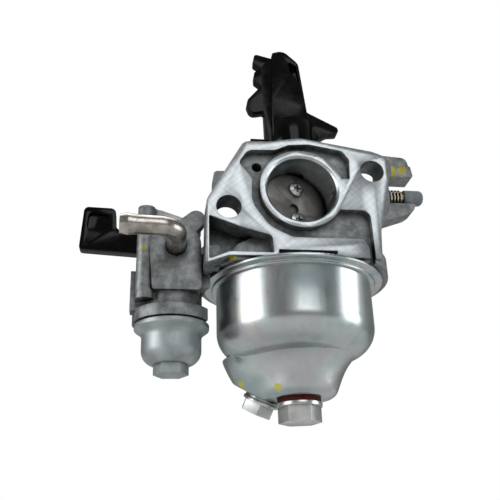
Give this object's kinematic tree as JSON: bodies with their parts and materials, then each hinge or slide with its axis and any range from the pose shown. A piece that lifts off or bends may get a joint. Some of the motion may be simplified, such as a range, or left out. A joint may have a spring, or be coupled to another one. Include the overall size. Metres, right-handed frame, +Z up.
{
  "type": "carburetor",
  "caption": "Float-bowl carburetor of a small engine: cast body with throttle, choke, fuel cock with sediment cup, and a drawn bowl with float and needle.",
  "frame": {"origin": "centre of the bore on the engine-side flange face", "axes": "+X to the right as seen from the engine, +Y through the body to the air cleaner, +Z up"},
  "size_m": [0.0957, 0.0536, 0.1107],
  "materials": {
    "cast_alloy": "rough die cast, machined faces bright",
    "bowl_zinc": "zinc plated, satin with a faint blue tint",
    "bright_steel": "zinc plated, satin",
    "plate_steel": "matt, lightly stained",
    "valve_plate_zinc": "zinc plated, satin",
    "fibre_washer": "dull red-brown",
    "brass": "turned",
    "spring_steel": "drawn wire",
    "black_lever": "glossy black",
    "grey_cap": "matt grey",
    "cup_paint": "matt blue-grey",
    "pipe_plating": "dull brownish plating",
    "black_rubber": "matt black",
    "float_plastic": "moulded, black",
    "strainer_plastic": "moulded, off-white"
  },
  "bodies": {
    "casting": {"bowl_bolt": "bright_steel", "bowl_bolt_washer": "fibre_washer", "bowl_gasket": "black_rubber", "carburetor_body": "cast_alloy", "drain_bolt": "bright_steel", "drain_washer": "valve_plate_zinc", "float_bowl": "bowl_zinc", "float_pin": "bright_steel", "float_valve_seat": "brass", "fuel_inlet_pipe": "pipe_plating", "fuel_strainer": "strainer_plastic", "fuel_valve_packing": "black_rubber", "fuel_valve_plate": "valve_plate_zinc", "fuel_valve_screws": "bright_steel", "idle_stop_spring": "spring_steel", "main_jet": "brass", "main_nozzle": "brass", "pilot_jet": "grey_cap", "pilot_jet_oring": "black_rubber", "pilot_screw_spring": "spring_steel", "sediment_cup": "cup_paint", "sediment_cup_oring": "black_rubber", "throttle_shaft_seal": "black_rubber", "wave_washer": "spring_steel"},
    "throttle": {"throttle_shaft": "plate_steel", "throttle_lever": "black_lever", "throttle_plate": "plate_steel", "throttle_plate_screws": "bright_steel"},
    "choke": {"choke_shaft": "plate_steel", "choke_lever": "plate_steel", "choke_plate": "plate_steel", "choke_plate_screws": "bright_steel"},
    "fuel_valve": {"fuel_valve_lever": "black_lever"},
    "idle_stop": {"idle_stop_screw": "grey_cap"},
    "pilot": {"pilot_screw": "brass", "limiter_cap": "grey_cap"},
    "float_arm": {"float": "float_plastic"},
    "needle": {"float_valve": "brass"}
  },
  "joints": [
    {"name": "throttle_turn", "type": "hinge", "parent": "casting", "child": "throttle", "pos_m": [0, 0.011, 0], "axis": [0, 0, 1], "range_deg": [0, 70]},
    {"name": "choke_turn", "type": "hinge", "parent": "casting", "child": "choke", "pos_m": [0, 0.031, 0], "axis": [0, 0, 1], "range_deg": [0, 75]},
    {"name": "fuel_valve_turn", "type": "hinge", "parent": "casting", "child": "fuel_valve", "pos_m": [-0.034, 0.024, -0.008], "axis": [0, 1, 0], "range_deg": [0, 90]},
    {"name": "idle_stop_turn", "type": "hinge", "parent": "casting", "child": "idle_stop", "pos_m": [-0.0095, 0.0205, 0.0194], "axis": [0, 1, 0], "range_deg": [-180, 180]},
    {"name": "pilot_turn", "type": "hinge", "parent": "casting", "child": "pilot", "pos_m": [0.0243, 0.0047, 0.0006], "axis": [1, 0, 0], "range_deg": [-90, 90]},
    {"name": "float_swing", "type": "hinge", "parent": "casting", "child": "float_arm", "pos_m": [0, 0.036, -0.0236], "axis": [-1, 0, 0], "range_deg": [0, 10]},
    {"name": "needle_lift", "type": "slide", "parent": "casting", "child": "needle", "axis": [0, 0, 1], "range_m": [0, 0.00084]}
  ],
  "couplings": [
    {"joint": "needle_lift", "follows": "float_swing", "m_per_rad": 0.0048}
  ]
}
